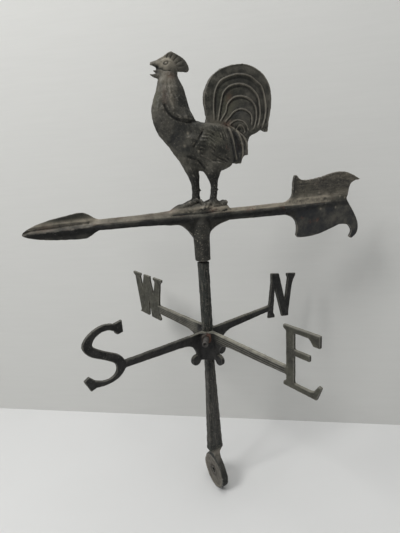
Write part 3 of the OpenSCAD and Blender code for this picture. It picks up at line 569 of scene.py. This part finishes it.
# Runs of small balls thicken beak, tongue and comb, and lay toes and a ledge on the arrow's ground
welds = [
    [(-36, 0, 177.0, 3.4), (-42, 0, 178.2, 2.4), (-47.6, 0, 177.8, 1.0)],
    [(-37, 0, 174.5, 2.4), (-42, 0, 176.2, 2.3), (-46.5, 0, 177.2, 1.3)],
    [(-39, 0, 164.6, 2.6), (-44, 0, 164.0, 1.9), (-49.2, 0, 165.8, 0.8)],
    [(-37, 0, 168.9, 1.5), (-41, 0, 168.3, 1.2), (-44.6, 0, 169.6, 1.2)],
    [(-27, 0, 186.0, 2.2), (-22.8, 0, 188.8, 2.0), (-17, 0, 185.0, 2.1)],
    [(-40.5, 0, 172.0, 1.5), (-39.8, 0, 169.5, 1.5), (-39.5, 0, 167.0, 1.5)],
]
LEDGE_REACH, LEDGE_BALLS, SHORT_BALLS = 44, 80, 9
for side in (-1, 1):
    welds += [
        [(-LEDGE_REACH, side * 2.5, 1.5, 3.0), (-15, side * 7.6, 0.4, 3.0),
         (15, side * 7.6, 0.4, 3.0), (LEDGE_REACH, side * 2.5, 1.5, 3.0)],
        [(-5, side * 4, 21, 2.8), (-15, side * 5, 17.5, 2.6), (-28, side * 4, 13.2, 2.2)],
        [(0, side * 5, 19.5, 2.6), (4, side * 8.5, 14.5, 2.3), (1, side * 10, 10.5, 1.8)],
        [(17, side * 4, 18.5, 2.6), (10, side * 7, 15.5, 2.3), (6, side * 9.5, 11, 1.9)],
        [(22, side * 3, 17.5, 2.4), (29, side * 4, 13.5, 2.6), (34.5, side * 4, 15.0, 3.4)],
    ]
for run in welds:
    more, tops = balls(run, LEDGE_BALLS if run[0][0] == -LEDGE_REACH else SHORT_BALLS)
    faces += [[len(points) + k for k in f] for f in tops]
    points += more
# A drum rounds the socket's shoulder out under the arrow
SHOULDER_RADIUS, SHOULDER_LOW, SHOULDER_HIGH = 10.3, -14, 1.0
more, tops = drum(SHOULDER_RADIUS, SHOULDER_LOW, SHOULDER_HIGH)
faces += [[len(points) + k for k in f] for f in tops]
points += more
v, q = reskin(points, faces, SKIN_STEP, 3)
n = normals(v, q)
side = np.sign(v[:, 1])
flat = blend(np.abs(n[:, 1]), 0.25, 0.65)
b, h = v[:, 0], v[:, 2]
# The tail between its rims is laid even before the ridges go on
in_tail = blend(b, 17, 22) * blend(h - 0.1 * (60 - np.minimum(b, 60)), 104, 110)
even = 3.2 + 1.3 * np.exp(-(((b - 58) / 30) ** 2 + ((h - 118) / 30) ** 2))
v[:, 1] += flat * in_tail * (side * even - v[:, 1])
v = relax(v, q, 1)
# Detail is drawn as seen from the front quarter, so a swollen side carries it forward and up
DRAWN_ACROSS, DRAWN_DOWN = 0.33, 0.27
across = v[:, 0] + DRAWN_ACROSS * np.abs(v[:, 1])
upward = v[:, 2] - DRAWN_DOWN * np.abs(v[:, 1])
broken = np.clip(0.75 + 0.9 * rough(np.stack([across, 0 * across, upward], -1), 7.0, 21, 2), 0.15, 1.3)
drawn = flat * relief(across, upward, broken) * blend(h, 14, 20)
v[:, 1] += side * drawn
# Where shaft, spearhead and feather join, the casting runs through, and the spurs are worn to bumps
seams = (near(b, h, -128, 0, 7, 30) + near(b, h, 138, 0, 7, 14)
         + near(b, h, 5.5, 32, 3, 4) + near(b, h, 29.5, 31, 3, 4))
v += (relax(v, q, 14) - v) * np.clip(seams, 0, 1)[:, None]
# The spearhead's upper faces are hollow above the ridge, and the feather has a crease behind its shaft
hollow = blend(-b, 128, 140) * blend(-b, -206, -190) * flat
v[:, 1] -= side * hollow * 2.0 * np.exp(-((h - 3.2 - 0.03 * (b + 205)) / 2.4) ** 2)
v[:, 1] += side * line(b, h, [(150, 38), (175, 30), (205, 33), (232, 37)], 0.5, 5, 0.3)
v[:, 1] -= side * line(b, h, [(192, 8), (190, 1), (185, -8)], 0.5, 2.5, 0.2)
# Feathery roughness on the figure, strongest on body and ground
grainy = rough(np.stack([b * 0.8 + h * 0.4, v[:, 1], h * 0.5 - b * 0.3], -1), 3.0, 3, 3)
mound = blend(h, 4, 9) * blend(-h, -22, -14) * blend(-np.abs(b), -52, -44)
on_body = blend(h, 14, 22) * (1 - in_tail * 0.75) * (1 - 0.7 * blend(h, 160, 168))
v += n * (grainy * (0.4 * on_body + 0.4 * mound))[:, None]
# The arrow's own frame is mirrored, so the corners of each face swap their order
p, q = from_vane(v), q[:, ::-1]
p = pitted(p, q, 0.26, 1)
# The socket's bore is reamed true up to its blind end
SOCKET_BORE, CAST_LEAST, CAST_MOST, BORE_END = 4.87, 3.8, 6.4, 382.0
radius = np.hypot(p[:, 0], p[:, 1])
bore = (radius > CAST_LEAST) & (radius < CAST_MOST) & (p[:, 2] < BORE_END)
p[bore, :2] *= (SOCKET_BORE / radius[bore])[:, None]
which = parts_of(p, q, vane_nodes)
b, h = across, upward
facing = normals(p, q)[:, 2]
off_axis = np.hypot(v[:, 0], v[:, 1]) + 4 * np.maximum(h, 0)
shaft = blend(-h, -13, -8) * blend(h, -9, -5) * blend(off_axis, 14, 20)
streaks = 0.5 + 0.5 * rough(np.stack([v[:, 0] * 0.12, v[:, 1], v[:, 2]], -1), 1.6, 11, 2)
# Painted highlights on the shaft's upper face and along the ridge that runs down the spearhead
lit = blend(h + 0.013 * np.minimum(b, 0), 0.3, 1.6) * blend(-b, -214, -190)
shaft_top_highlight = blend(facing, -0.15, 0.05) * shaft * lit * np.clip(0.55 + streaks, 0, 1) * (0.55 + 0.45 * (b > 0))
highlight_band = np.exp(-((h - 4.5 - 0.085 * (b + 190)) / 3.6) ** 2) * blend(h, -0.8, 1.0)
ridge_highlight = blend(-b, 120, 130) * blend(-b, -204, -196) * highlight_band * np.clip(0.45 + 0.8 * streaks, 0, 1)
# Painted highlight on the feather's upper half.
upper_feather_highlight = blend(b, 140, 150) * blend(h, 6, 10)
legs = blend(h, 14, 22) * blend(-h, -62, -50) * blend(-np.abs(b), -90, -70)
# Tail and covert ridges, painted pale as painted highlights.
arcs = sum(line(b, h, arc, 1, 1.2, 0.05) for arc in tail_arcs + coverts)
eye = np.exp(-((np.hypot((b + 29.4) / 1.5, h - 175.3 - 0.2 * (b + 29.4)) - 1.6) / 0.55) ** 2)
mouth = line(b, h, [(-41, 171.4), (-36.5, 170.2), (-32.5, 169.3)], 1, 0.9)
# Raised relief is painted pale and sunk relief dark: painted highlight and painted shade on the drawn detail.
raised, sunk = blend(drawn, 0.25, 1.2), blend(-drawn, 0.3, 1.5)


def spots(b, h, table):
    """Soft spots from rows of (strength, distance behind the spindle, height, wide, tall)."""
    return sum(strength * near(b, h, *place) for strength, *place in table)


chips = [(0.7, *place, 1.3, 1.5) for place in [
    (143, 19), (151, 32), (166, 34), (174, 27), (182, 15.5), (197, 38), (213, 30), (227, 5),
    (218, 7.5), (185, -8), (211, -8), (-2, 84), (-14, 83), (-9, 96), (3, 76), (-8, 5)]]
tints = {
    # Pale: chips and the head's paler tone, and painted highlights on shaft, spearhead, feather, ridges and
    # raised relief.
    "pale": spots(b, h, chips + [
        (0.9, -31, 177, 12, 8), (0.3, -31, 158, 10, 13), (0.25, -25, 134, 5, 16),
        (0.25, 28, 113, 15, 4), (0.45, 229, 36, 14, 7)])
    + 0.75 * shaft_top_highlight + 0.5 * ridge_highlight + 0.8 * upper_feather_highlight * streaks + 0.3 * mound * streaks
    + 0.3 * arcs + 0.4 * raised * on_body,
    "rust": spots(b, h, [
        (0.5, -25, 161, 5, 4), (0.6, 43, 109, 7, 4), (0.5, 47, 139, 4, 6), (0.6, 18, 5, 7, 3),
        (0.4, -40, 11, 9, 3), (0.45, -185, 4, 10, 3), (0.3, -34, 138, 4, 12)])
    + 0.25 * shaft * blend(1 - streaks, 0.5, 0.9) * (facing > 0),
    # Slate tone on the coverts and in the tail; painted shade on the feather's lower half and on down-facing
    # sides below the arrow; darker over the legs.
    "slate_and_shade": spots(b, h, [(0.9, 55, 84, 9, 16), (0.6, 62, 122, 12, 8), (0.5, -20, 90, 14, 12)])
    + 0.6 * blend(b, 138, 150) * blend(-h, -4, 6)
    + 0.7 * blend(-facing, 0.05, 0.4) * blend(-h, -12, -4)
    + 0.7 * blend(h, 16, 24) * blend(-h, -52, -44),
    "olive": spots(b, h, [
        (0.7, -42, 140, 8, 12), (0.8, 42, 136, 16, 20), (0.6, 158, 24, 14, 12),
        (0.6, -155, 12, 22, 6), (0.5, 25, 92, 14, 12)]),
    # Painted shade in the mouth and under the tongue, in the eye's sunk ring and in sunk relief, and on the
    # lower halves of shaft and spearhead; darker spots, and darker over the legs.
    "soot_and_shade": spots(b, h, [
        (0.95, -41.5, 172.3, 3.8, 1.6), (0.8, -42, 168, 2.5, 1.6), (0.5, -8, 174, 7, 6),
        (0.5, -165, 13, 26, 4), (0.4, -38, 108, 16, 22), (0.25, -24, 138, 14, 12)])
    + 0.85 * eye + 0.9 * mouth + 0.5 * sunk + 0.35 * legs
    + 0.55 * blend(h, 8, 20) * blend(-h, -56, -44)
    + 0.55 * blend(-h, 1, 5) * blend(-np.abs(b), -140, -125)
    + 0.5 * blend(-h, 0, 2) * blend(-b, 122, 130)
    + 0.55 * shaft * blend(-h, 0.0, 1.0),
    "flecks": 0.9 * blend(-h, 10, 18) * (np.abs(v[:, 0]) < 20) + 0.35 * on_body,
}
palette = ((0.025, 0.025, 0.021), (0.095, 0.089, 0.073), (0.20, 0.185, 0.155), (0.32, 0.285, 0.22))
figure_iron = iron("figure_iron_skin", *palette, rust_share=0.1, lump=55)
shaft_iron = iron("shaft_iron_skin", *palette[:3], (0.36, 0.32, 0.25), rust_share=0.35, lump=55)
for k, (name, slot, material) in enumerate([
        ("rooster_figure", "figure_iron", figure_iron), ("arrow_shaft", "arrow_iron", shaft_iron),
        ("arrow_spearhead", "arrow_iron", shaft_iron), ("arrow_feather", "arrow_iron", shaft_iron),
        ("spindle_socket", "socket_iron", figure_iron)]):
    piece(name, vane_nodes[k], "vane", material, p, q, which == k, tints)

# The mast: one iron casting, round above, flat with raised lips below, with the knuckle disc as its
# foot. The clamp halves grip it at the compass, and the spindle pin is driven into its top.
p, q = reskin(*read(["mast"]), SKIN_STEP, 2)
fillet = blend(np.hypot(p[:, 1], p[:, 2]), 22, 25) * blend(-p[:, 2], -34, -28) * blend(p[:, 2], 2, 8)
p += (relax(p, q, 30) - p) * fillet[:, None]
# Grooves inside the lips of the flat lower bar, which widens downward
BAR_TOP, BAR_FOOT = 196, 46
bar_half = 5.5 + 5.25 * np.clip((BAR_TOP - p[:, 2]) / (BAR_TOP - BAR_FOOT), 0, 1)
on_bar = blend(p[:, 2], BAR_FOOT + 3, BAR_FOOT + 8) * blend(-p[:, 2], -BAR_TOP, 4 - BAR_TOP)
LIP_INSET, GROOVE_HALF, GROOVE_DEPTH = 3.6, 0.9, 0.9
groove = np.exp(-((np.abs(p[:, 0]) - bar_half + LIP_INSET) / GROOVE_HALF) ** 2)
groove *= blend(np.abs(normals(p, q)[:, 1]), 0.4, 0.8)
p[:, 1] -= np.sign(p[:, 1]) * GROOVE_DEPTH * groove * on_bar
p = pitted(p, q, 0.4, 2, 6, 1.6)
# The knuckle's bore is drilled true
KNUCKLE_BORE, CAST_MOST, DISC_HALF = 4.2, 5.6, 6
r = np.hypot(p[:, 1], p[:, 2])
bore = (r < CAST_MOST) & (np.abs(p[:, 0]) < DISC_HALF)
p[bore, 1:] *= (KNUCKLE_BORE / np.maximum(r[bore], 1e-6))[:, None]
r = np.hypot(p[:, 1], p[:, 2])
n = normals(p, q)
# The disc's mating face is painted pale as painted light, rubbed paler at its rim, and rusty, rough and
# darker round the bore
face = blend(-n[:, 0], 0.4, 0.8) * blend(-r, -26, -23)
p[:, 0] -= face * 0.35 * rough(p, 3.0, 8, 2) * blend(-r, -15, -11)
tints = {
    "pale": face * (0.5 + 0.45 * near(r, 0, 24, 0, 2, 1)) * (1 - 0.6 * blend(-r, -12, -7))
    # Painted highlights on the lit patch at the rod's lower end and on upward faces above the foot.
    + 0.85 * near(p[:, 1], p[:, 2], -4, 35, 9, 5) * blend(-n[:, 1], 0, 0.5)
    + 0.3 * blend(n[:, 2], 0.3, 0.8) * blend(-p[:, 2], -60, -40),
    "rust": 0.22 * face * blend(-r, -11, -8),
    # Painted shade on the disc's rim.
    "soot_and_shade": 0.55 * blend(-np.abs(n[:, 0]), -0.6, -0.3) * blend(-r, -32, -29) * blend(-p[:, 2], -29, -22)
    + 0.45 * face * near(r, 0, 7, 0, 2.5, 1),
    # Darker over the lower bar.
    "slate_and_shade": 0.3 * blend(-p[:, 2], -220, -150) * blend(p[:, 2], 35, 60),
    "flecks": 0.9 * blend(p[:, 2], 30, 45),
}
# Fine upright drips of dry paint above the neck
drips = blend(rough(np.stack([p[:, 0], p[:, 1], p[:, 2] * 0.07], -1), 1.3, 12, 2), 0.2, 0.5)
tints["pale"] += (0.3 * drips + 0.12 * blend(-p[:, 2], -190, -150)) * blend(p[:, 2], 40, 60)
mast_iron = iron("mast_iron_skin", (0.011, 0.013, 0.011), (0.032, 0.034, 0.030), (0.16, 0.16, 0.14),
                 (0.23, 0.205, 0.17), rust_share=0.1, specks=0.9, lump=70)
piece("cast_mast", "mast", "post", mast_iron, p, q, np.full(len(q), True), tints,
      1 - 0.6 * blend(p[:, 2], 30, 45))

# The compass: two iron castings clamped round the mast, each a clamp half with two arms and two letters.
# The east and west arms are painted pale khaki with fine ribs: painted light on their lit sides and painted
# highlights on their tops.
COMPASS_TURN = math.radians(9.7)
COMPASS = np.array(Matrix.Rotation(COMPASS_TURN, 3, "Z"))
castings = [
    ["front_clamp", "arm_south", "arm_east", "letter_s", "letter_e"],
    ["rear_clamp", "arm_north", "arm_west", "letter_n", "letter_w"],
]
dress = {
    "front_clamp": ("front_clamp_half", "clamp_iron"), "arm_south": ("south_arm", "arm_iron"),
    "arm_east": ("east_arm", "arm_khaki"), "letter_s": ("south_letter", "letter_iron"),
    "letter_e": ("east_letter", "letter_iron"), "rear_clamp": ("rear_clamp_half", "clamp_iron"),
    "arm_north": ("north_arm", "arm_iron"), "arm_west": ("west_arm", "arm_khaki"),
    "letter_n": ("north_letter", "letter_iron"), "letter_w": ("west_letter", "letter_iron"),
}
compass_iron = iron("compass_iron_skin", (0.009, 0.009, 0.009), (0.028, 0.027, 0.025), (0.15, 0.145, 0.125),
                    (0.25, 0.24, 0.195), rust_share=0.15, specks=0.3, lump=60)
RIB_PITCH, RIB_HEIGHT, SEAT_LIP = 2.9, 0.26, 234.3
# The real west arm stands higher than the others' line, and both pale arms run into their letters.
# Each weld is (distance, half width, lowest, highest) at its two ends, along the compass's east-west line.
arm_welds = [
    [(-133, 2.8, 228.6, 237.4), (-142, 2.8, 228.6, 237.4)],
    [(10.5, 3.4, 230, 242.5), (127.5, 3.2, 227.5, 240.2)],
]


def share_of(q, count, picked):
    """1 on the points of the picked quads, falling softly to 0 around them."""
    share = np.zeros(count)
    share[q[picked]] = 1
    return relax(np.stack([share] * 3, -1), q, 4)[:, 0]


for rear, nodes in enumerate(castings):
    seed = 3 + rear
    points, faces = read(nodes)
    points = [tuple(w) for w in np.array(points) @ COMPASS]
    box = [(0, 1, 2, 3), (4, 5, 6, 7), (0, 1, 5, 4), (1, 2, 6, 5), (2, 3, 7, 6), (3, 0, 4, 7)]
    faces += [[len(points) + k for k in f] for f in box]
    for y, half, low, high in arm_welds[rear]:
        points += [(-half, y, low), (half, y, low), (half, y, high), (-half, y, high)]
    turned, q = reskin(points, faces, SKIN_STEP, 2)
    p = turned @ COMPASS.T
    along_sn, along_we = turned[:, 0], turned[:, 1]
    n = normals(p, q)
    which = parts_of(p, q, nodes)
    letter = share_of(q, len(p), np.isin(which, [3, 4]))
    pale_letter = share_of(q, len(p), which == 4)
    on_we = blend(np.abs(along_we), 14, 30) * blend(-np.abs(along_sn), -14, -9)
    arm = on_we * (1 - letter) * blend(p[:, 2], 222, 229)
    ribs = np.sin(p[:, 2] * 2 * math.pi / RIB_PITCH + 0.8 * along_sn + 0.6 * np.sin(along_we / 23))
    p += n * (RIB_HEIGHT * arm * ribs)[:, None]
    # A lip along the top of the clamp's flat seat
    seat = blend(-np.hypot(along_sn, along_we), -19, -16) * blend(np.abs(along_sn + along_we), 11, 14)
    under_lip = np.exp(-((p[:, 2] - SEAT_LIP) / 1.1) ** 2)
    p -= n * (0.8 * seat * under_lip * (1 - np.abs(n[:, 2])))[:, None]
    p = pitted(p, q, 0.24, seed)
    streaks = 0.5 + 0.5 * rough(np.stack([along_we * 0.1, along_sn, p[:, 2]], -1), 1.3, seed, 2)
    patchy = 0.5 + 0.5 * rough(turned, 9.0, seed, 3)
    # Painted light on the east and west arms: a share on their lit sides, painted highlights on tops and rib
    # crests.
    shade = (0.24, 0.34)[rear]
    arm_top_highlight = (0.62, 0.42)[rear] * blend(n[:, 2], 0.1, 0.7)
    root = 0.35 * rear * blend(-np.abs(along_we), -50, -25)
    bare_and_lit = arm * np.clip(shade + arm_top_highlight + root + 0.26 * ribs, 0, 1) * np.clip(0.35 + 1.1 * streaks, 0, 1)
    # Painted highlights on the hub's top and on the north arm's top.
    hub_top_highlight = blend(-np.hypot(along_sn, along_we), -48, -30) * blend(n[:, 2], 0.3, 0.8)
    sn_top_highlight = blend(np.abs(along_sn), 24, 40) * blend(-np.abs(along_sn), -128, -118) * blend(n[:, 2], 0, 0.6)
    # Pale: the arms' painted light, the east and west letters painted paler as lit with painted highlights on
    # their upward faces, and painted highlights on all upward faces.
    tints = {
        "pale": bare_and_lit + pale_letter * (0.05 + 0.10 * patchy + 0.3 * blend(n[:, 2], 0.2, 0.8)) * (0.5 + streaks)
        + 0.5 * hub_top_highlight * streaks + 0.9 * rear * sn_top_highlight * streaks + 0.2 * blend(n[:, 2], 0.4, 0.9),
        "olive": 0.35 * pale_letter,
        "flecks": 0.4 * arm + 0.3 * letter,
        # Painted shade in the arms' rib grooves, less on upward faces.
        "soot_and_shade": 0.55 * arm * blend(-ribs, 0.3, 0.9) * (1 - 0.7 * blend(n[:, 2], 0.3, 0.8)) * (1.2 - streaks),
    }
    for k, node in enumerate(nodes):
        name, slot = dress[node]
        piece(name, node, "post", compass_iron, p, q, which == k, tints,
              blend(np.hypot(along_sn, along_we), 22, 40) * 0.7 + 0.3)

# The bolt through both clamp halves and its nut: steel, the thread standing 16 mm proud of the nut,
# its end dimpled and dull, the nut rusted.
bolt_way = Vector((-0.578, -0.816, 0))
bolt_middle = Vector((-4.40, -6.216, 231.97))
steel = iron("dull_steel_skin", (0.026, 0.024, 0.022), (0.072, 0.066, 0.060), (0.17, 0.16, 0.145),
             (0.2, 0.2, 0.2), (0.07, 0.042, 0.030), rust_share=0.4, rough_low=0.45, rough_high=0.7, lump=170)
rusty = iron("rusty_nut_skin", (0.022, 0.018, 0.015), (0.058, 0.048, 0.040), (0.13, 0.115, 0.10),
             (0.2, 0.2, 0.2), (0.085, 0.036, 0.022), rust_share=0.3, rough_low=0.6, rough_high=0.85, lump=200)
THREAD_PITCH, THREAD_DEPTH = 1.5, 0.22
for name, node, slot, material in (("threaded_bolt", "clamp_bolt", "bolt_steel", steel),
                                   ("hex_nut", "clamp_nut", "nut_rust", rusty)):
    p, q = reskin(*read([node]), 0.4, 1)
    t = (p - np.array(bolt_middle)) @ np.array(bolt_way)
    off = p - np.array(bolt_middle) - t[:, None] * np.array(bolt_way)
    r = np.linalg.norm(off, axis=1)
    if node == "clamp_bolt":
        turn = np.arctan2(off @ np.array(bolt_way.cross(Vector((0, 0, 1)))), off[:, 2])
        thread = THREAD_DEPTH * (np.sin(t * 2 * math.pi / THREAD_PITCH - turn) - 1)
        thread *= blend(t, -4, 0) * blend(r, 3, 3.6)
        p += off / np.maximum(r, 1e-6)[:, None] * thread[:, None]
        p -= np.outer(2.4 * np.exp(-(r / 2.0) ** 2) * blend(t, 25, 27.5), np.array(bolt_way))
        # Painted shade in the dimple of the bolt's end.
        tints = {"soot_and_shade": 0.95 * np.exp(-(r / 2.2) ** 2) * blend(t, 24, 26)}
    else:
        tints = {"rust": blend(off @ np.array(level), -1, 4)}
    p = pitted(p, q, 0.12, 6, 3, 1)
    piece(name, node, "post", material, p, q, np.full(len(q), True), tints)

# The spindle pin: turned steel, fixed in the mast's top, seen only in the gap under the socket. It is
# a plain round bar, so the CAD solid itself shows, in the bolt's dull steel.
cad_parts["spindle_pin"].data.materials.clear()
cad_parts["spindle_pin"].data.materials.append(steel)

low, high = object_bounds()
scene.view_settings.view_transform = "Standard"
